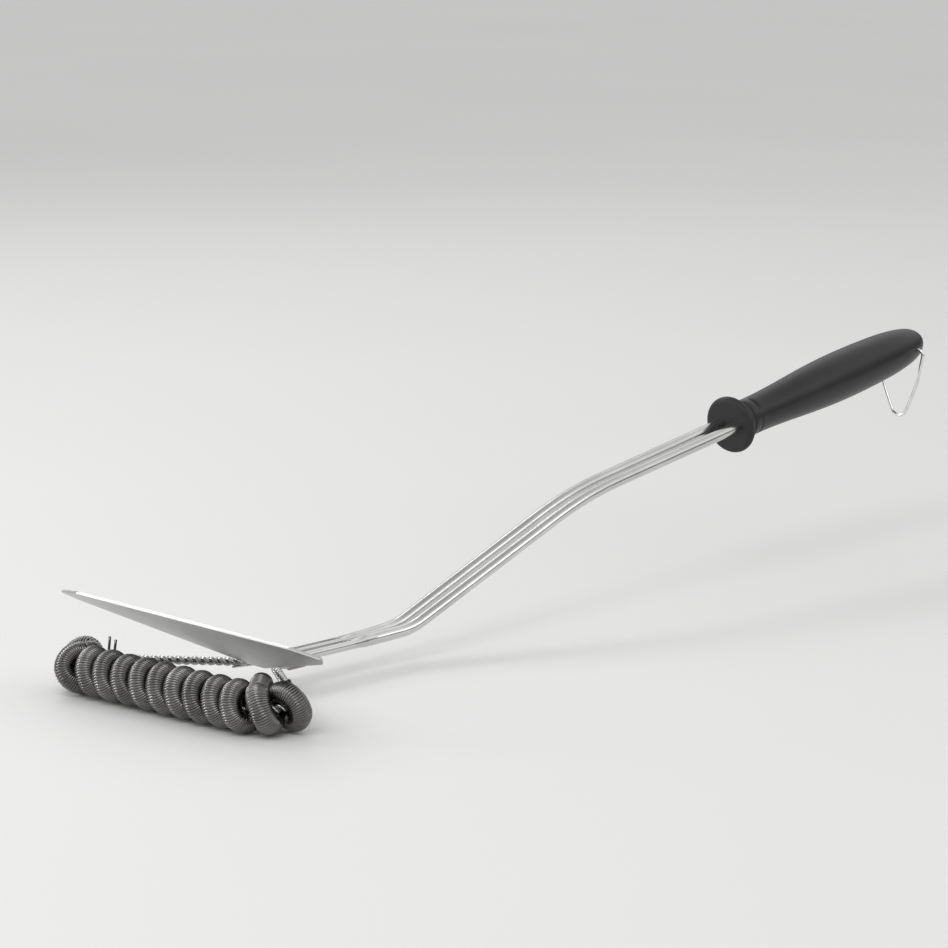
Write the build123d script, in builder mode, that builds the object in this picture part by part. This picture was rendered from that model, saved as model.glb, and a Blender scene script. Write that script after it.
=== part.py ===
"""Grill cleaning brush: a coil-wound scrubbing head and a scraper plate on a two-rod shaft with a moulded grip.

Frame: millimetres, +Z up, +X from the head towards the grip, +Y to the left of the hand that holds it.
The origin is on the surface under the head, half way along the brush: the bottom centre of its box.
Lengths called "back" are measured from the front bar of the head towards the grip.
"""
from build123d import *
from math import asin, atan2, cos, hypot, radians, sin, tan
import os

# ---------------------------------------------------------------- driving dimensions
ROD_R = 3.0  # two 6 mm round rods carry the whole brush

# scrubbing head: a two-wire frame with a spring rope wound on its front bar and corners.
# The real wires are twisted round each other; here they run one above the other.
HEAD_Y = 4.0  # the head's middle is a little to the left of the shaft's
ROPE_R = 5.0  # outside radius of the close-wound spring rope
COIL_R = 12.3  # outside radius of the coil that the rope makes
COIL_PITCH = 11.9
FRONT_TURNS, FRONT_COIL_Y = 10.25, 3.4
CORNER_ROPE_R, CORNER_COIL_R = 3.9, 11.0  # the rope is drawn thinner where it is pulled round a corner
CORNER_TURNS = 1.0
CORNER_COIL_ANGLE = 122  # degrees round the corner, from the front bar, where the corner coil sits
STRAND_R = 1.08  # one wire of the frame
STRAND_RISE = 1.1  # from the middle of the pair to each wire's centre
HALF_WIDTH = 66.0  # from the middle of the head to the outermost frame wire
CORNER_R = 13.0
APEX_BACK, APEX_Y, APEX_Z, APEX_R = 56.0, 10.0, 13.8, 6.0  # where the side wires turn towards the shaft
TAIL_BACK, TAIL_END, TAIL_R = 66.0, 80.0, 20.0  # the tails lie beside the shaft
TAIL_Y, TAIL_Z = 8.3, 13.8

# shaft: flat nose, first bend, long bend, hand guard
FLAT_W, FLAT_T, FLAT_Z = 7.0, 4.2, 14.6  # each rod pressed flat at its nose
FLAT_BACK, ROUND_BACK = 112.0, 122.0  # flat up to here, full round from here
BEND_1_BACK, BEND_1_Y, BEND_1_Z, BEND_1_R = 152.9, 5.0, 15.6, 45.0
BEND_2_BACK, BEND_2_Y, BEND_2_Z, BEND_2_R = 281.0, 5.5, 63.0, 250.0
GUARD_BACK = 404.6
GRIP_TILT = 9.2  # degrees, slope of the upper shaft and the grip
ROD_GAP_Y = 6.0  # rod centre from the middle, inside the grip
ROD_IN_GRIP = 118.0
DIE_MARK_W, DIE_MARK_DEPTH, DIE_MARK_LENGTH = 2.6, 0.5, 46.0

# scraper plate, drawn in its own plane: across, and forward from the shaft
PLATE_T = 1.5
PLATE_BACK, PLATE_Z = 57.2, 12.5  # corner of the plate's outline, on the shaft
PLATE_RISE, PLATE_ROLL = 31.1, 2.0  # degrees
PLATE_HEEL = (5.0, 3.0)
PLATE_TIP_REAR = (79.7, 47.8)
PLATE_TIP = (86.3, 55.9)
PLATE_FRONT = (69.5, 61.2)
PLATE_BEVEL = 0.9

# guard, neck ring and grip, along the grip's axis from the guard's front face
GUARD_R, GUARD_T = 15.4, 5.0
GUARD_HUB_R, GUARD_END = 10.0, 11.6
RING_R, RING_START, RING_END = 10.4, 11.6, 15.4
GRIP_START, GRIP_END = 15.4, 175.6
GRIP_OUTLINE = [  # distance along the axis, radius
    (19.0, 10.1), (40.0, 10.7), (62.0, 12.0), (84.0, 13.1), (106.0, 13.4), (128.0, 13.0),
    (146.0, 12.1), (158.0, 10.7), (167.0, 8.6), (173.0, 5.2),
]
GRIP_LIP_R = 9.8

# hanging loop: bent wire whose ends turn in two blind holes through the butt's sides
LOOP_R = 0.9
LOOP_PIVOT = 158.0  # along the grip's axis
LOOP_HOLE_R = 0.95
LOOP_HOLE_DEPTH_Y, LOOP_END_Y = 5.2, 5.6
LOOP_HALF = [(16.2, 0.0), (11.8, -20.0)]  # across, up, from the pivot
LOOP_VERTEX = -46.0
LOOP_SHOULDER_R, LOOP_LEG_R, LOOP_FOOT_R = 3.0, 60.0, 5.5

# joints between the steel pieces
WELD_R = 1.7
PLATE_WELD_BACK, PLATE_WELD_Z, PLATE_WELD_YS = 50.4, 17.2, (2.2, 5.2)
FRAME_WELD_BACKS, FRAME_WELD_Y, FRAME_WELD_Z = (68.0, 77.0), 7.1, 12.0
SEAM_BACKS, SEAM_Z, SEAM_R = (82.0, 104.0), 12.6, 1.5
CROSSBAR_R, CROSSBAR_L, CROSSBAR_S = 2.0, 18.0, 110.0  # across the rods' undersides inside the grip
TANG_WELD_YS = (4.5, 7.5)
FIT = 0.04  # clearance between pieces that only touch

# ---------------------------------------------------------------- shared geometry
BUTT_BACK = GUARD_BACK + GRIP_END * cos(radians(GRIP_TILT))
MID_BACK = (BUTT_BACK - COIL_R) / 2  # the origin, as a distance back from the front bar
CORE_Z = COIL_R
GRIP_DIR = Vector(cos(radians(GRIP_TILT)), 0, sin(radians(GRIP_TILT)))
GRIP_UP = GRIP_DIR.rotate(Axis.Y, -90)
GUARD_Z = BEND_2_Z + (GUARD_BACK - BEND_2_BACK) * GRIP_DIR.Z / GRIP_DIR.X


def at(back, y, z):
    """A point given by its distance back from the front bar."""
    return Vector(back - MID_BACK, y, z)


def along_grip(s, y=0.0):
    return at(GUARD_BACK, y, GUARD_Z) + GRIP_DIR * s


def grip_plane(s):
    """Plane across the grip, its z along the grip's axis and its x upwards."""
    return Plane(origin=along_grip(s), x_dir=GRIP_UP, z_dir=GRIP_DIR)


GRIP_SECTION = Plane(origin=along_grip(0), x_dir=GRIP_DIR, z_dir=(0, -1, 0))  # local x along, y up

plate_across = Vector(0, 1, 0).rotate(Axis.X, PLATE_ROLL)
plate_normal = Vector(sin(radians(PLATE_RISE)), 0, cos(radians(PLATE_RISE))).rotate(Axis.X, PLATE_ROLL)
PLATE = Plane(origin=at(PLATE_BACK, 0, PLATE_Z), x_dir=plate_across, z_dir=plate_normal)

def corner_y(sign):
    """Where the centre of one corner's circle is, across the brush."""
    return HEAD_Y + sign * (HALF_WIDTH - CORNER_R)


def side_corner_y(sign):
    """Where the line of the side wire, from the apex and round the corner's circle, meets the front bar's line."""
    forward, outward = CORNER_R - APEX_BACK, sign * corner_y(sign) - APEX_Y
    angle = atan2(outward, forward) - asin(CORNER_R / hypot(forward, outward))
    return sign * (APEX_Y - APEX_BACK * tan(angle))


def export(name, node):
    node.part.label = name
    export_step(node.part, f"parts/{name}.step")


os.makedirs("parts", exist_ok=True)

# ---------------------------------------------------------------- shaft rods
rods = {}
for side, sign in (("left", 1), ("right", -1)):
    flat_y = sign * (FLAT_W / 2 + FIT / 2)
    with BuildPart() as rod:
        with BuildLine() as centre_line:
            FilletPolyline(
                at(ROUND_BACK, flat_y, FLAT_Z),
                at(ROUND_BACK + 6, flat_y, FLAT_Z),
                at(BEND_1_BACK, sign * BEND_1_Y, BEND_1_Z),
                at(BEND_2_BACK, sign * BEND_2_Y, BEND_2_Z),
                along_grip(0, sign * ROD_GAP_Y),
                along_grip(ROD_IN_GRIP, sign * ROD_GAP_Y),
                radius=[30, BEND_1_R, BEND_2_R, 200],
            )
        with BuildSketch(Plane(origin=centre_line.line @ 0, z_dir=(1, 0, 0))):
            Circle(ROD_R)
        sweep(path=centre_line.line)
        with BuildSketch(Plane(origin=at(ROUND_BACK, flat_y, FLAT_Z), x_dir=(0, 1, 0), z_dir=(-1, 0, 0))):
            Circle(ROD_R)
        with BuildSketch(Plane(origin=at(FLAT_BACK, flat_y, FLAT_Z), x_dir=(0, 1, 0), z_dir=(-1, 0, 0))):
            RectangleRounded(FLAT_W, FLAT_T, FLAT_T / 2 - 0.15)
        loft()
        with BuildSketch(Plane(origin=at(FLAT_BACK, flat_y, FLAT_Z), x_dir=(0, 1, 0), z_dir=(-1, 0, 0))):
            RectangleRounded(FLAT_W, FLAT_T, FLAT_T / 2 - 0.15)
        extrude(amount=FLAT_BACK - PLATE_BACK + 12)
        # the mark that the pressing die leaves along the flat
        mark_centre = at(FLAT_BACK - DIE_MARK_LENGTH / 2, flat_y, FLAT_Z + FLAT_T / 2)
        with BuildSketch(Plane(origin=mark_centre, z_dir=(0, 0, 1))):
            SlotOverall(DIE_MARK_LENGTH, DIE_MARK_W)
        extrude(amount=-DIE_MARK_DEPTH, mode=Mode.SUBTRACT)
        # the nose is cut to the scraper's slope
        split(bisect_by=PLATE.offset(PLATE_T / 2 + FIT), keep=Keep.TOP)
    rods[side] = rod
    export(f"shaft_rod_{side}", rod)

# ---------------------------------------------------------------- scraper plate
with BuildPart() as scraper:
    with BuildSketch(PLATE.offset(-PLATE_T / 2)) as outline:
        with BuildLine():
            Polyline(
                (0, PLATE_HEEL[1]), PLATE_HEEL, PLATE_TIP_REAR, PLATE_TIP, PLATE_FRONT, (0, PLATE_FRONT[1])
            )
            mirror(about=Plane.YZ)
        make_face()
        corners = outline.vertices().filter_by(lambda v: abs(v.X) > 1)
        fillet(corners, radius=1.5)
    extrude(amount=PLATE_T)
    top_face = scraper.faces().sort_by(Axis(PLATE.origin, PLATE.z_dir))[-1]
    front_edge = top_face.edges().sort_by(Axis(PLATE.origin, PLATE.y_dir))[-1]
    chamfer(front_edge, length=PLATE_BEVEL)
export("scraper_plate", scraper)


# ---------------------------------------------------------------- frame wires
frame_wires = {}
for name, rise in (("upper", STRAND_RISE), ("lower", -STRAND_RISE)):
    halves = [
        [
            at(TAIL_END, sign * TAIL_Y, TAIL_Z + rise),
            at(TAIL_BACK, sign * TAIL_Y, TAIL_Z + rise),
            at(APEX_BACK, sign * APEX_Y, APEX_Z + rise),
            at(0, side_corner_y(sign), CORE_Z + rise),
        ]
        for sign in (1, -1)
    ]
    with BuildPart() as frame_wire:
        with BuildLine() as wire_line:
            FilletPolyline(
                *halves[0], *reversed(halves[1]), radius=[TAIL_R, APEX_R, CORNER_R, CORNER_R, APEX_R, TAIL_R]
            )
        with BuildSketch(Plane(origin=wire_line.line @ 0, z_dir=(-1, 0, 0))):
            Circle(STRAND_R)
        sweep(path=wire_line.line)
    frame_wires[name] = frame_wire
    export(f"frame_wire_{name}", frame_wire)


# ---------------------------------------------------------------- spring-rope coils
def rope_coil(axis, turns, coil_r, rope_r):
    """The rope as one round section wound round an axis, half of it each side of the axis's origin."""
    height = turns * COIL_PITCH
    path = axis.offset(-height / 2) * Helix(pitch=COIL_PITCH, height=height, radius=coil_r - rope_r)
    return sweep(Plane(origin=path @ 0, z_dir=path % 0) * Circle(rope_r), path=path, is_frenet=True)


front_axis = Plane(origin=at(0, FRONT_COIL_Y, CORE_Z), x_dir=(-1, 0, 0), z_dir=(0, 1, 0))
front_rope = rope_coil(front_axis, FRONT_TURNS, COIL_R, ROPE_R)
with BuildPart() as coil_front:
    add(front_rope)
export("scrub_coil_front", coil_front)

for side, sign in (("left", 1), ("right", -1)):
    turn = radians(CORNER_COIL_ANGLE)
    centre = at(CORNER_R - CORNER_R * cos(turn), corner_y(sign) + sign * CORNER_R * sin(turn), CORE_Z)
    heading = Vector(sin(turn), sign * cos(turn), 0)
    outwards = Vector(-cos(turn), sign * sin(turn), 0)
    corner_axis = Plane(origin=centre, x_dir=outwards, z_dir=heading)
    corner_rope = rope_coil(corner_axis, CORNER_TURNS, CORNER_COIL_R, CORNER_ROPE_R)
    with BuildPart() as coil_corner:
        add(corner_rope)
    export(f"scrub_coil_{side}", coil_corner)

# ---------------------------------------------------------------- grip insert and welds
with BuildPart() as crossbar:
    under_rods = along_grip(CROSSBAR_S, -CROSSBAR_L / 2) - GRIP_UP * (ROD_R + CROSSBAR_R + FIT)
    with BuildSketch(Plane(origin=under_rods, z_dir=(0, 1, 0))):
        Circle(CROSSBAR_R)
    extrude(amount=CROSSBAR_L)
    fillet(crossbar.edges().filter_by(GeomType.CIRCLE), radius=0.6)
export("tang_crossbar", crossbar)


def weld_bead(name, start, end, radius, *neighbours):
    """A round-ended bead from start to end, cut back to the faces of the pieces that it joins."""
    with BuildPart() as bead:
        with BuildSketch(Plane(origin=start, z_dir=end - start)):
            Circle(radius)
        extrude(amount=(end - start).length)
        for tip in (start, end):
            with Locations(tip):
                Sphere(radius)
        for neighbour in neighbours:
            add(neighbour.part, mode=Mode.SUBTRACT)
        keep_largest = bead.solids().sort_by(SortBy.VOLUME)[-1]
    with BuildPart() as kept:
        add(keep_largest)
    export(name, kept)
    return kept


weld_bead(
    "weld_shaft_seam", at(SEAM_BACKS[0], 0, SEAM_Z), at(SEAM_BACKS[1], 0, SEAM_Z), SEAM_R, *rods.values()
)
grip_inserts = [crossbar]
for side, sign in (("left", 1), ("right", -1)):
    wires = frame_wires.values()
    on_plate = [at(PLATE_WELD_BACK, sign * y, PLATE_WELD_Z) for y in PLATE_WELD_YS]
    weld_bead(f"weld_scraper_{side}", *on_plate, WELD_R, scraper, rods[side])
    beside_tails = [at(back, sign * FRAME_WELD_Y, FRAME_WELD_Z) for back in FRAME_WELD_BACKS]
    weld_bead(f"weld_frame_{side}", *beside_tails, WELD_R, rods[side], *wires)
    corner = along_grip(CROSSBAR_S + CROSSBAR_R) - GRIP_UP * ROD_R
    across = [corner + Vector(0, sign * y, 0) for y in TANG_WELD_YS]
    grip_inserts.append(weld_bead(f"weld_tang_{side}", *across, WELD_R, rods[side], crossbar))

# ---------------------------------------------------------------- hand guard, neck ring and grip
with BuildPart() as guard:
    with BuildSketch(GRIP_SECTION):
        with BuildLine():
            rim = GUARD_T / 2
            front = Polyline((0, 0), (0, GUARD_R - rim))
            ThreePointArc(front @ 1, (rim, GUARD_R), (GUARD_T, GUARD_R - rim))
            Line((GUARD_T, GUARD_R - rim), (GUARD_T + 0.4, GUARD_HUB_R + 2.4))
            RadiusArc((GUARD_T + 0.4, GUARD_HUB_R + 2.4), (GUARD_T + 3.2, GUARD_HUB_R), -3.2)
            Polyline((GUARD_T + 3.2, GUARD_HUB_R), (GUARD_END, GUARD_HUB_R), (GUARD_END, 0), (0, 0))
        make_face()
    revolve(axis=Axis(along_grip(0), GRIP_DIR))
    for rod in rods.values():
        add(rod.part, mode=Mode.SUBTRACT)
export("hand_guard", guard)

with BuildPart() as neck_ring:
    with BuildSketch(grip_plane(RING_START)):
        Circle(RING_R)
    extrude(amount=RING_END - RING_START)
    fillet(neck_ring.edges().filter_by(GeomType.CIRCLE), radius=0.8)
    for rod in rods.values():
        add(rod.part, mode=Mode.SUBTRACT)
export("neck_ring", neck_ring)

with BuildPart() as grip:
    with BuildSketch(GRIP_SECTION):
        with BuildLine():
            Line((GRIP_START, 0), (GRIP_START, GRIP_LIP_R))
            Line((GRIP_START, GRIP_LIP_R), (GRIP_START + 0.8, GRIP_LIP_R))
            RadiusArc((GRIP_START + 0.8, GRIP_LIP_R), GRIP_OUTLINE[0], -4)
            Spline(
                *GRIP_OUTLINE, (GRIP_END, 0), tangents=[(1, 0), (0, -1)]
            )
            Line((GRIP_END, 0), (GRIP_START, 0))
        make_face()
    revolve(axis=Axis(along_grip(0), GRIP_DIR))
    for insert in [*rods.values(), *grip_inserts]:
        add(insert.part, mode=Mode.SUBTRACT)
    for sign in (1, -1):
        with BuildSketch(Plane(origin=along_grip(LOOP_PIVOT, sign * LOOP_HOLE_DEPTH_Y), z_dir=(0, sign, 0))):
            Circle(LOOP_HOLE_R)
        extrude(amount=COIL_R, mode=Mode.SUBTRACT)
export("handle_grip", grip)

# ---------------------------------------------------------------- hanging loop
pivot = along_grip(LOOP_PIVOT)
half = [(LOOP_END_Y, 0.0), *LOOP_HALF]
loop_outline = [*half, (0.0, LOOP_VERTEX), *((-y, z) for y, z in reversed(half))]
with BuildPart() as loop:
    with BuildLine() as loop_line:
        FilletPolyline(
            *(pivot + Vector(0, y, z) for y, z in loop_outline),
            radius=[LOOP_SHOULDER_R, LOOP_LEG_R, LOOP_FOOT_R, LOOP_LEG_R, LOOP_SHOULDER_R],
        )
    with BuildSketch(Plane(origin=loop_line.line @ 0, z_dir=(0, 1, 0))):
        Circle(LOOP_R)
    sweep(path=loop_line.line)
export("hanging_loop", loop)
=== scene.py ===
"""Looks of the grill cleaning brush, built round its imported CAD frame.

Lengths are in metres and places are in the CAD's own frame."""
from math import cos, pi, radians, sin, sqrt
from random import Random

import bpy
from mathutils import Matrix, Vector


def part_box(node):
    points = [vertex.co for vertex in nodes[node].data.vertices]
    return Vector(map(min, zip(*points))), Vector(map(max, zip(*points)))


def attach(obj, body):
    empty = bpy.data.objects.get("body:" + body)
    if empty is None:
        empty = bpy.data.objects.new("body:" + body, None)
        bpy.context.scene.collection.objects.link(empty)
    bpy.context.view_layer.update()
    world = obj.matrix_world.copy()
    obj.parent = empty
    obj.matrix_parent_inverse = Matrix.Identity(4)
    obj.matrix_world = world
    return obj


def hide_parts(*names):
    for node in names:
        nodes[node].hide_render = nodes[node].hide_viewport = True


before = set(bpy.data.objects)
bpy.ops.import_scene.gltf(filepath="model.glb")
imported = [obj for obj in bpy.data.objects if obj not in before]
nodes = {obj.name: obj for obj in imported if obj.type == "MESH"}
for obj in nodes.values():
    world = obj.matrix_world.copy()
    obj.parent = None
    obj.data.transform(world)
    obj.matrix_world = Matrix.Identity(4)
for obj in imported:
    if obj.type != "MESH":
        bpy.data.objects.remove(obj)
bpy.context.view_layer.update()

MM = 0.001
UP = Vector((0, 0, 1))

# ---------------------------------------------------------------- places read from the frame
coil_low, coil_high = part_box("scrub_coil_front")
wire_low, wire_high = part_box("frame_wire_upper")
FRONT_X = (coil_low.x + coil_high.x) / 2  # the front bar's line
CORE_Z = (coil_low.z + coil_high.z) / 2
HEAD_Y = (wire_low.y + wire_high.y) / 2
COIL_R = (coil_high.z - coil_low.z) / 2

# ---------------------------------------------------------------- driving sizes
STRAND_R = 1.08 * MM  # one wire of the twisted frame
TWIST_R = 1.1 * MM  # from the pair's middle to the middle of each wire
TWIST_PITCH = 7.9 * MM
CORNER_R = 13.0 * MM  # of the frame's line at both ends of the front bar
HALF_BAR = (wire_high.y - wire_low.y) / 2 - STRAND_R - CORNER_R  # straight half of the front bar
APEX = (56.0 * MM, 10.0 * MM, 13.8 * MM)  # back from the front bar, across, up
TAIL_MID = (66.0 * MM, 8.3 * MM, 13.8 * MM)
TAIL_END = (80.0 * MM, 8.3 * MM, 13.8 * MM)
TWIST_START = (0.6, 0.3)  # share of the way from TAIL_MID to APEX, and of the full twist there
LEAVE_DEGREES = range(90, 178)  # angles round the corner tried for the start of the straight run
STRAND_SIDES = 14
SIDE_STEPS, CORNER_STEPS, BAR_STEPS = 60, 30, 100  # points along the frame's line
WIRE_STEP = 0.45 * MM  # between rings of a frame wire

ROPE_R = 5.0 * MM  # across the coil's radius
ROPE_WIDE = 1.1  # the rope's width along the coil's axis over its width across the radius
ROPE_SIDES = 24
COIL_PITCH = 11.9 * MM
COIL_INSET = 0.4 * MM  # of the rope's outside from the CAD coil's, on average
COIL_WAVER, WAVER_RATE = 0.12 * MM, 1.7  # of the coil's radius, along its turns
ROPE_DRIFT, DRIFT_RATE = 0.15 * MM, 2.3  # of the rope off its coil, along its turns
WAVES = ((2.1, 1.7, 0.0), (3.37, 4.1, 0.6))  # of a wobble: rate, phase for each lane, phase
TOP_TURN_Y = -54.6 * MM  # across the brush, the top of the right-hand turn of the front row
SQUEEZE = 0.14  # how much thinner the rope is on the inner side of a corner
SQUEEZE_RUN = 6.0 * MM  # along the core's line, over which the squeeze comes in
RIBS_PER_TURN = 58
RIB_SAMPLES = 5  # rings to a rib
RIB_SEED, RIB_UNEVEN, RIB_SLIP = 7, 0.04 * MM, 0.06 * MM  # small differences between ribs
GROOVE, GROOVE_SWING = 0.34 * MM, 0.26 * MM  # depth between ribs, and the extra on the outside
END_SHARE = 0.7  # of the rope's radius, at the very end of its last rib
BORE_SHARE, BORE_DEPTH = 0.7, 3.0 * MM  # of the rope's radius, and into its cut end
END_CROWNS = (0.0, 0.7, 0.9)  # crown values of the bore, of its rim and of the last ring: the bore painted in full shade, the rim and ring in part

WIRE_END_R = 0.65 * MM  # loose ends of the rope's wire
THIN_WIRE_R = 0.45 * MM  # loose wire by the shaft
LOOSE_SIDES, LOOSE_STEPS = 10, 6
LOOSE_BOW = 0.5 * MM


def mesh_piece(name, vertices, faces, material):
    """A smooth-shaded object with one material, in the scene."""
    mesh = bpy.data.meshes.new(name)
    mesh.from_pydata(vertices, [], faces)
    mesh.validate()
    mesh.polygons.foreach_set("use_smooth", [True] * len(mesh.polygons))
    mesh.materials.append(material)
    piece = bpy.data.objects.new(name, mesh)
    bpy.context.scene.collection.objects.link(piece)
    return piece


# ---------------------------------------------------------------- materials
PATCHES = (0.3, 0.7)  # the stretch of a noise's values that fades from one colour to the other
NOISE_ROUGHNESS = 0.55


class Nodes:
    """A material's node tree, with short calls to add and join nodes."""

    def __init__(self, name):
        self.material = bpy.data.materials.new(name)
        self.material.use_nodes = True
        self.tree = self.material.node_tree
        self.shader = self.tree.nodes["Principled BSDF"]

    def add(self, kind, **settings):
        """A new node, each setting put on its socket of that name or else on the node itself."""
        node = self.tree.nodes.new(kind)
        for key, value in settings.items():
            if key in node.inputs:
                node.inputs[key].default_value = value
            else:
                setattr(node, key, value)
        return node

    def join(self, output, socket):
        self.tree.links.new(output, socket)

    def feed(self, output, name):
        """Joins an output to one of the shader's own sockets."""
        self.join(output, self.shader.inputs[name])

    def set(self, **values):
        """Puts numbers on the shader's own sockets; an underscore in a name stands for a space."""
        for key, value in values.items():
            self.shader.inputs[key.replace("_", " ")].default_value = value

    def place(self, stretch):
        """Object coordinates, scaled along each axis."""
        coordinates = self.add("ShaderNodeTexCoord")
        mapping = self.add("ShaderNodeMapping")
        mapping.inputs["Scale"].default_value = stretch
        self.join(coordinates.outputs["Object"], mapping.inputs["Vector"])
        return mapping.outputs["Vector"]

    def noise(self, vector, scale, detail=4.0):
        node = self.add("ShaderNodeTexNoise", Scale=scale, Detail=detail, Roughness=NOISE_ROUGHNESS)
        self.join(vector, node.inputs["Vector"])
        return node.outputs["Fac"]

    def ramp(self, factor, low, high, start=0.0, end=1.0):
        """Factor turned into a colour between low and high."""
        node = self.add("ShaderNodeValToRGB")
        node.color_ramp.elements[0].position = start
        node.color_ramp.elements[1].position = end
        node.color_ramp.elements[0].color = (*low, 1)
        node.color_ramp.elements[1].color = (*high, 1)
        self.join(factor, node.inputs["Fac"])
        return node.outputs["Color"]

    def span(self, factor, low, high):
        """Factor from 0 to 1 turned into a number from low to high."""
        node = self.add("ShaderNodeMapRange")
        node.inputs["To Min"].default_value = low
        node.inputs["To Max"].default_value = high
        self.join(factor, node.inputs["Value"])
        return node.outputs["Result"]

    def bump(self, height, strength, distance):
        node = self.add("ShaderNodeBump", Strength=strength, Distance=distance)
        self.join(height, node.inputs["Height"])
        self.feed(node.outputs["Normal"], "Normal")


def polished_rod():
    """Bright drawn stainless rod, with faint drawing lines along it."""
    m = Nodes("polished_rod")
    m.set(Metallic=1.0)
    lines = m.noise(m.place((30, 700, 700)), 2.0)
    clouds = m.noise(m.place((40, 60, 60)), 1.0)
    m.feed(m.ramp(clouds, (0.60, 0.597, 0.587), (0.72, 0.72, 0.712), *PATCHES), "Base Color")
    m.feed(m.span(lines, 0.10, 0.24), "Roughness")
    m.bump(lines, 0.12, 0.00008)
    return m.material


def satin_sheet():
    """Rolled stainless sheet with a fine grain across the blade."""
    m = Nodes("satin_sheet")
    m.set(Metallic=1.0)
    grain = m.noise(m.place((900, 14, 900)), 2.0, 6.0)
    clouds = m.noise(m.place((25, 25, 25)), 1.0)
    m.feed(m.ramp(clouds, (0.44, 0.44, 0.435), (0.56, 0.56, 0.55), *PATCHES), "Base Color")
    m.feed(m.span(grain, 0.26, 0.44), "Roughness")
    m.bump(grain, 0.18, 0.00008)
    return m.material


def drawn_wire(name, low, high, rough_low, rough_high):
    """Drawn steel wire, between two greys and two roughnesses."""
    m = Nodes(name)
    m.set(Metallic=1.0)
    clouds = m.noise(m.place((180, 180, 180)), 1.0)
    m.feed(m.ramp(clouds, low, high, *PATCHES), "Base Color")
    m.feed(m.span(clouds, rough_low, rough_high), "Roughness")
    m.bump(m.noise(m.place((900, 900, 900)), 2.0), 0.08, 0.00005)
    return m.material


def spring_rope():
    """Close-wound spring wire, with painted shade darkening the grooves between its ribs and the
    crowns left at the steel's colour.
    """
    m = Nodes("spring_rope")
    m.set(Metallic=1.0)
    crown = m.add("ShaderNodeAttribute", attribute_name="crown").outputs["Fac"]
    stain = m.noise(m.place((60, 60, 60)), 1.0, 5.0)
    steel = m.ramp(stain, (0.12, 0.118, 0.114), (0.30, 0.296, 0.288), 0.3, 0.75)
    # painted shade: the colour runs from near-black in the grooves to the steel's colour on the
    # crowns
    groove_shade = m.add("ShaderNodeMix", data_type="RGBA")
    groove_shade.inputs["A"].default_value = (0.03, 0.03, 0.028, 1)
    m.join(crown, groove_shade.inputs["Factor"])
    m.join(steel, groove_shade.inputs["B"])
    m.feed(groove_shade.outputs["Result"], "Base Color")
    m.feed(m.span(stain, 0.14, 0.28), "Roughness")
    return m.material


def weld_metal():
    """Weld bead, grey with straw and blue heat tints."""
    m = Nodes("weld_metal")
    m.set(Metallic=1.0)
    tint = m.noise(m.place((260, 260, 260)), 1.0, 3.0)
    m.feed(m.ramp(tint, (0.30, 0.26, 0.20), (0.42, 0.43, 0.47), *PATCHES), "Base Color")
    m.feed(m.span(tint, 0.32, 0.55), "Roughness")
    m.bump(m.noise(m.place((600, 600, 600)), 2.0), 0.3, 0.0002)
    return m.material


def moulded_plastic(name, colour_low, colour_high, rough_low, rough_high, grain):
    """Black moulded plastic with a fine spark-eroded grain and faint handling marks."""
    m = Nodes(name)
    m.set(Metallic=0.0, Specular_IOR_Level=0.38)
    clouds = m.noise(m.place((45, 45, 45)), 1.0, 5.0)
    m.feed(m.ramp(clouds, colour_low, colour_high, *PATCHES), "Base Color")
    marks = m.noise(m.place((90, 90, 90)), 1.0, 6.0)
    m.feed(m.span(marks, rough_low, rough_high), "Roughness")
    m.bump(m.noise(m.place((2200, 2200, 2200)), 1.0, 2.0), grain, 0.00006)
    return m.material


def plain_floor():
    m = Nodes("plain_floor")
    m.set(Roughness=0.6)
    shade = m.noise(m.place((1.5, 1.5, 1.5)), 1.0, 2.0)
    m.feed(m.ramp(shade, (0.74, 0.74, 0.735), (0.78, 0.78, 0.775)), "Base Color")
    return m.material


ROD = polished_rod()
SHEET = satin_sheet()
ROPE = spring_rope()
FRAME_WIRE = drawn_wire("frame_wire", (0.40, 0.40, 0.39), (0.62, 0.62, 0.60), 0.16, 0.30)
LOOP_WIRE = drawn_wire("loop_wire", (0.70, 0.70, 0.69), (0.84, 0.84, 0.83), 0.10, 0.20)
WELD = weld_metal()
GRIP = moulded_plastic(
    "grip_plastic", (0.010, 0.010, 0.011), (0.017, 0.017, 0.018), 0.30, 0.40, 0.25)
GUARD = moulded_plastic(
    "guard_plastic", (0.012, 0.012, 0.014), (0.020, 0.020, 0.022), 0.44, 0.56, 0.35)

CAD_FINISHES = {
    "shaft_rod_left": (ROD, "polished_steel"),
    "shaft_rod_right": (ROD, "polished_steel"),
    "scraper_plate": (SHEET, "satin_steel"),
    "hand_guard": (GUARD, "guard_plastic"),
    "neck_ring": (GRIP, "grip_plastic"),
    "handle_grip": (GRIP, "grip_plastic"),
    "hanging_loop": (LOOP_WIRE, "loop_wire"),
    "tang_crossbar": (WELD, "weld_metal"),
    "weld_shaft_seam": (WELD, "weld_metal"),
    "weld_scraper_left": (WELD, "weld_metal"),
    "weld_scraper_right": (WELD, "weld_metal"),
    "weld_frame_left": (WELD, "weld_metal"),
    "weld_frame_right": (WELD, "weld_metal"),
    "weld_tang_left": (WELD, "weld_metal"),
    "weld_tang_right": (WELD, "weld_metal"),
}
for node_name, (finish, slot_name) in CAD_FINISHES.items():
    node = nodes[node_name]
    node.data.materials.clear()
    node.data.materials.append(finish)


# ---------------------------------------------------------------- the head's core line
def core(t):
    """A point of the front bar's line, bent round both corners, and the way that faces out of the
    head there. t is the distance along the line from the head's middle, growing to the left."""
    side = 1 if t > 0 else -1
    past = abs(t) - HALF_BAR
    if past <= 0:
        return Vector((FRONT_X, HEAD_Y + t, CORE_Z)), Vector((-1, 0, 0))
    turn = past / CORNER_R
    out = Vector((-cos(turn), side * sin(turn), 0))
    centre = Vector((FRONT_X + CORNER_R, HEAD_Y + side * HALF_BAR, CORE_Z))
    return centre + out * CORNER_R, out


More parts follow.
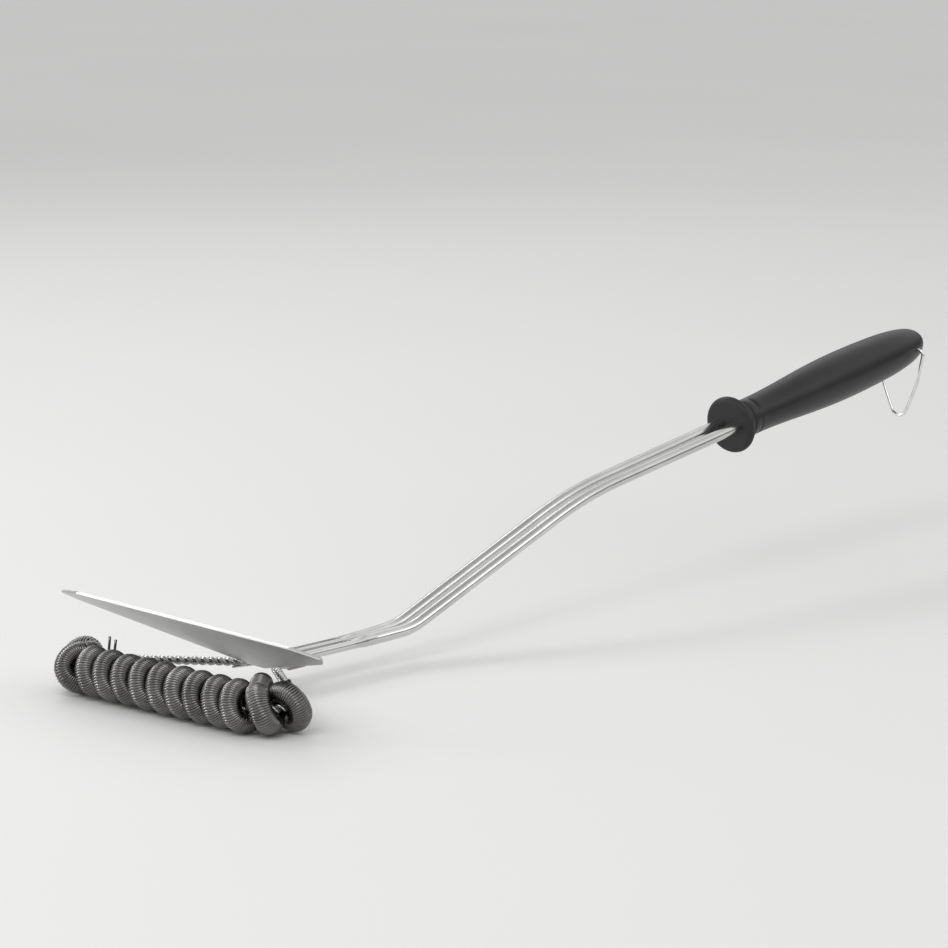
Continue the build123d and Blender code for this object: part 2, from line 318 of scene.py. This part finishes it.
def heading(points, i):
    """The way that a line of points runs at its point i."""
    return (points[min(i + 1, len(points) - 1)] - points[max(i - 1, 0)]).normalized()


def ring_faces(rows, sides, first):
    """Faces of a closed tube, its vertices numbered ring by ring from first. Each ring runs
    anticlockwise to an eye at the tube's far end that looks back along it."""
    faces = []
    for i in range(rows - 1):
        for j in range(sides):
            k = (j + 1) % sides
            row, above = first + i * sides, first + (i + 1) * sides
            faces.append((row + j, row + k, above + k, above + j))
    last = first + (rows - 1) * sides
    faces.append(tuple(first + j for j in reversed(range(sides))))
    faces.append(tuple(last + j for j in range(sides)))
    return faces


def add_tube(vertices, faces, points, radius, sides):
    """Adds a closed round tube along points to a mesh's vertices and faces."""
    faces += ring_faces(len(points), sides, len(vertices))
    normal = (points[1] - points[0]).orthogonal().normalized()
    for i, point in enumerate(points):
        ahead = heading(points, i)
        normal = (normal - ahead * normal.dot(ahead)).normalized()
        other = ahead.cross(normal)
        for j in range(sides):
            phi = 2 * pi * j / sides
            vertices.append(point + normal * (radius * cos(phi)) + other * (radius * sin(phi)))


def spike(base, tip):
    """Points of a loose wire end, slightly bowed. Its ends are in millimetres: back from the front
    bar's line, across the brush and up."""
    low, high = (Vector((FRONT_X, 0, 0)) + Vector(end) * MM for end in (base, tip))
    shares = [k / LOOSE_STEPS for k in range(LOOSE_STEPS + 1)]
    return [low.lerp(high, share) + Vector((LOOSE_BOW * sin(pi * share), 0, 0)) for share in shares]


# ---------------------------------------------------------------- spring rope
# where the rope is pulled off an even coil: turn, half width in turns, shift in millimetres
STRAYS = [
    (-1.75, 0.25, (3.0, 0.0, -3.0)),
    (0.25, 0.25, (1.8, 0.5, 8.2)),
    (9.75, 0.30, (-1.4, 0.5, 0.0)),
    (10.25, 0.25, (0.0, 0.0, 5.0)),
    (11.25, 0.25, (0.5, 0.5, -5.0)),
]


def stray(turns):
    """How far the rope is pulled off an even coil after so many turns."""
    shift = Vector((0, 0, 0))
    for middle, width, (x, y, z) in STRAYS:
        d = abs(turns - middle) / width
        if d < 1:
            shift += Vector((x, y, z)) * MM * 0.5 * (1 + cos(pi * d))
    return shift


def wobble(x, lane):
    """A smooth wavering between -1 and 1 along x, different in each lane."""
    return sum(sin(rate * x + spread * lane + phase) for rate, spread, phase in WAVES) / len(WAVES)


def rope_centre(turns):
    """Centre of the rope after so many turns from the top of the right-hand turn of the front row,
    with the way outwards from the core and the rope's radius there."""
    t = TOP_TURN_Y - HEAD_Y + turns * COIL_PITCH
    point, out = core(t)
    angle = pi / 2 + 2 * pi * turns
    away = out * cos(angle) + UP * sin(angle)
    round_corner = min(1.0, max(0.0, abs(t) - HALF_BAR) / SQUEEZE_RUN)
    inner = max(0.0, -cos(angle)) * round_corner
    x, y, z = (ROPE_DRIFT * wobble(DRIFT_RATE * turns, lane) for lane in range(3))
    drift = Vector((x, y, abs(z)))  # never down, towards the floor
    mean_r = COIL_R - ROPE_R - COIL_INSET + COIL_WAVER * wobble(WAVER_RATE * turns, 3)
    centre = point + away * mean_r + drift + stray(turns)
    return centre, away, ROPE_R * (1 - SQUEEZE * inner)


def cut_end(ring, centre, inward):
    """Rings of the hollow rope's cut end: the bottom of its bore, its rim and its last ring."""
    rim = [centre + (v - centre) * BORE_SHARE for v in ring]
    bore = [v + inward for v in rim]
    return [bore, rim, ring]


def rope_rings(first_turn, last_turn):
    """Rings round the rope between two turn counts, with each wrap of its wire as a rib. With each
    ring goes its height on the rib, from 0 in the groove to 1 on the crown, which sets the painted
    shade in the rope's colour."""
    ribs = round((last_turn - first_turn) * RIBS_PER_TURN)
    last = ribs * RIB_SAMPLES
    step = (last_turn - first_turn) / last
    draws = Random(RIB_SEED)
    uneven = [[draws.uniform(-1, 1) for _ in range(3)] for _ in range(ribs + 1)]
    rings, crowns = [], []
    for i in range(last + 1):
        turns = first_turn + i * step
        before, after = rope_centre(turns - step)[0], rope_centre(turns + step)[0]
        centre, away, rope_r = rope_centre(turns)
        along = (after - before).normalized()
        outward = (away - along * away.dot(along)).normalized()
        across = along.cross(outward)
        thick, slip_out, slip_across = uneven[i // RIB_SAMPLES]
        centre = centre + (outward * slip_out + across * slip_across) * RIB_SLIP
        x = 2 * (i % RIB_SAMPLES) / RIB_SAMPLES - 1
        crown = sqrt(1 - x * x)
        near_end = min(1.0, min(i, last - i) / RIB_SAMPLES)
        rounding = END_SHARE + (1 - END_SHARE) * sqrt(1 - (1 - near_end) ** 2)
        ring = []
        for j in range(ROPE_SIDES):
            phi = 2 * pi * j / ROPE_SIDES
            groove = (GROOVE + GROOVE_SWING * cos(phi)) * (1 - crown)
            r = (rope_r + thick * RIB_UNEVEN - groove) * rounding
            ring.append(centre + outward * (cos(phi) * r) + across * (sin(phi) * r * ROPE_WIDE))
        if i == 0:
            rings += cut_end(ring, centre, along * BORE_DEPTH)
            crowns += END_CROWNS
        elif i == last:
            rings += reversed(cut_end(ring, centre, along * -BORE_DEPTH))
            crowns += reversed(END_CROWNS)
        else:
            rings.append(ring)
            crowns.append(crown)
    return rings, crowns


def ribbed_rope(name, first_turn, last_turn, cad_node, wire_ends=()):
    """The rope between two turn counts, with any loose wire ends that stand on it."""
    rings, crowns = rope_rings(first_turn, last_turn)
    vertices = [v for ring in rings for v in ring]
    faces = ring_faces(len(rings), ROPE_SIDES, 0)
    crown_values = [crown for crown in crowns for _ in range(ROPE_SIDES)]
    for points in wire_ends:
        add_tube(vertices, faces, points, WIRE_END_R, LOOSE_SIDES)
    crown_values += [1.0] * (len(vertices) - len(crown_values))
    piece = mesh_piece(name, vertices, faces, ROPE)
    attribute = piece.data.attributes.new("crown", "FLOAT", "POINT")
    attribute.data.foreach_set("value", crown_values)
    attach(piece, "brush")
    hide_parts(cad_node)


ribbed_rope("rope_right", -1.97, -0.5, "scrub_coil_right")
ribbed_rope("rope_front", -0.5, 10.06, "scrub_coil_front")
ribbed_rope("rope_left", 10.06, 11.52, "scrub_coil_left", [
    spike((5.0, 49.4, 14.0), (8.0, 49.6, 27.8)),
    spike((5.5, 46.4, 14.0), (8.2, 45.8, 26.8)),
])


# ---------------------------------------------------------------- twisted frame wires
def leave_angle(side, apex):
    """Angle round the corner, from the front bar, at which the frame's line leaves it and runs
    straight to the apex."""
    def off_tangent(degrees):
        point, out = core(side * (HALF_BAR + CORNER_R * radians(degrees)))
        return abs((apex - point).to_2d().normalized().dot(out.to_2d()))

    return radians(min(LEAVE_DEGREES, key=off_tangent))


def half_line(side):
    """Points from one tail's end to that side's end of the front bar's straight part, each with its
    share of the full twist."""
    apex, mid, end = (
        Vector((FRONT_X + back, side * y, z)) for back, y, z in (APEX, TAIL_MID, TAIL_END)
    )
    turn = leave_angle(side, apex)
    corner_point = core(side * (HALF_BAR + CORNER_R * turn))[0]
    start, start_twist = TWIST_START
    tail = [(end, 0.0), (end.lerp(mid, 0.5), 0.0), (mid, 0.0)]
    opening = [(mid.lerp(apex, start), start_twist), (apex, 1.0)]
    run = [(apex.lerp(corner_point, k / SIDE_STEPS), 1.0) for k in range(1, SIDE_STEPS)]
    corner = [
        (core(side * (HALF_BAR + CORNER_R * turn * (1 - k / CORNER_STEPS)))[0], 1.0)
        for k in range(CORNER_STEPS + 1)
    ]
    return tail + opening + run + corner


def evenly_spaced(line):
    """The line with points added, about WIRE_STEP apart."""
    spaced = []
    for (point, twist), (next_point, next_twist) in zip(line, line[1:]):
        count = max(1, round((next_point - point).length / WIRE_STEP))
        for k in range(count):
            share = k / count
            spaced.append((point.lerp(next_point, share), twist + (next_twist - twist) * share))
    spaced.append(line[-1])
    return spaced


def twisted_wire(name, phase, cad_node, loose_ends=()):
    """One wire of the pair that is twisted along the front bar and both sides, and straight at its
    tails."""
    bar = [(core(HALF_BAR * (1 - 2 * k / BAR_STEPS))[0], 1.0) for k in range(1, BAR_STEPS)]
    spaced = evenly_spaced(half_line(1) + bar + half_line(-1)[::-1])
    places = [point for point, twist in spaced]
    points, angle = [], phase
    for i, (point, twist) in enumerate(spaced):
        ahead = heading(places, i)
        up = (UP - ahead * ahead.z).normalized()
        across = ahead.cross(up)
        if i:
            angle += 2 * pi * twist * (point - places[i - 1]).length / TWIST_PITCH
        points.append(point + (up * cos(angle) + across * sin(angle)) * TWIST_R)
    vertices, faces = [], []
    add_tube(vertices, faces, points, STRAND_R, STRAND_SIDES)
    for loose_points in loose_ends:
        add_tube(vertices, faces, loose_points, THIN_WIRE_R, LOOSE_SIDES)
    piece = mesh_piece(name, vertices, faces, FRAME_WIRE)
    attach(piece, "brush")
    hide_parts(cad_node)


twisted_wire("twisted_wire_upper", 0.0, "frame_wire_upper")
twisted_wire("twisted_wire_lower", pi, "frame_wire_lower", [
    spike((50.8, 13.0, 11.7), (64.0, 8.8, 11.5)),
])


# ---------------------------------------------------------------- floor, light and camera
FLOOR_HALF = 12.0
floor_corners = [(-1, -1), (1, -1), (1, 1), (-1, 1)]
floor_points = [(FLOOR_HALF * x, FLOOR_HALF * y, 0) for x, y in floor_corners]
floor = mesh_piece("floor", floor_points, [(0, 1, 2, 3)], plain_floor())

# height on the dome of light, and brightness there
DOME_STOPS = [(0.0, 0.08), (0.25, 0.55), (0.45, 1.25), (0.7, 1.0), (1.0, 0.45)]
DOME_STRENGTH = 0.85
world = bpy.data.worlds.new("studio")
world.use_nodes = True
sky = world.node_tree
position = sky.nodes.new("ShaderNodeNewGeometry")
split = sky.nodes.new("ShaderNodeSeparateXYZ")
dome = sky.nodes.new("ShaderNodeValToRGB")
for height, _ in DOME_STOPS[2:]:  # a new ramp has two stops already
    dome.color_ramp.elements.new(height)
for element, (height, bright) in zip(dome.color_ramp.elements, DOME_STOPS):
    element.position = height
    element.color = (bright, bright, bright, 1)
sky.links.new(position.outputs["Position"], split.inputs["Vector"])
sky.links.new(split.outputs["Z"], dome.inputs["Fac"])
sky.links.new(dome.outputs["Color"], sky.nodes["Background"].inputs["Color"])
sky.nodes["Background"].inputs["Strength"].default_value = DOME_STRENGTH
bpy.context.scene.world = world


def area_light(name, place, target, size, power):
    """A rectangular light at a place, turned to a target; size in metres, power in watts."""
    data = bpy.data.lights.new(name, "AREA")
    data.shape = "RECTANGLE"
    data.size, data.size_y = size
    data.energy = power
    light = bpy.data.objects.new(name, data)
    light.location = place
    light.rotation_mode = "QUATERNION"
    light.rotation_quaternion = (Vector(target) - Vector(place)).to_track_quat("-Z", "Y")
    bpy.context.scene.collection.objects.link(light)


area_light("key", (-1.2, -0.4, 1.6), (0.0, 0.0, 0.05), (0.9, 0.9), 8)
area_light("fill", (0.6, -1.8, 0.9), (0.05, 0.0, 0.05), (1.4, 0.8), 4)
area_light("strip", (-0.85, 0.95, 0.3), (-0.25, 0.0, 0.03), (0.14, 0.6), 3.5)
area_light("rim", (0.3, 1.5, 1.3), (0.0, 0.0, 0.05), (1.6, 0.5), 7)

CAMERA_PLACE = (-1.3291, -1.1331, 0.3883)
CAMERA_HEADING, CAMERA_DIP = radians(42.2), radians(10.23)  # from +X towards +Y, and below level
CAMERA_LENS, CAMERA_SENSOR = 132.9, 36.0  # both in millimetres
CAMERA_CLIP = (0.05, 60)
camera_data = bpy.data.cameras.new("camera")
camera_data.lens = CAMERA_LENS
camera_data.sensor_width = CAMERA_SENSOR
camera_data.clip_start, camera_data.clip_end = CAMERA_CLIP
camera = bpy.data.objects.new("camera", camera_data)
looking = Vector((
    cos(CAMERA_HEADING) * cos(CAMERA_DIP),
    sin(CAMERA_HEADING) * cos(CAMERA_DIP),
    -sin(CAMERA_DIP),
))
camera.location = CAMERA_PLACE
camera.rotation_mode = "QUATERNION"
camera.rotation_quaternion = looking.to_track_quat("-Z", "Y")
bpy.context.scene.collection.objects.link(camera)
bpy.context.scene.camera = camera
bpy.context.scene.view_settings.view_transform = "Standard"
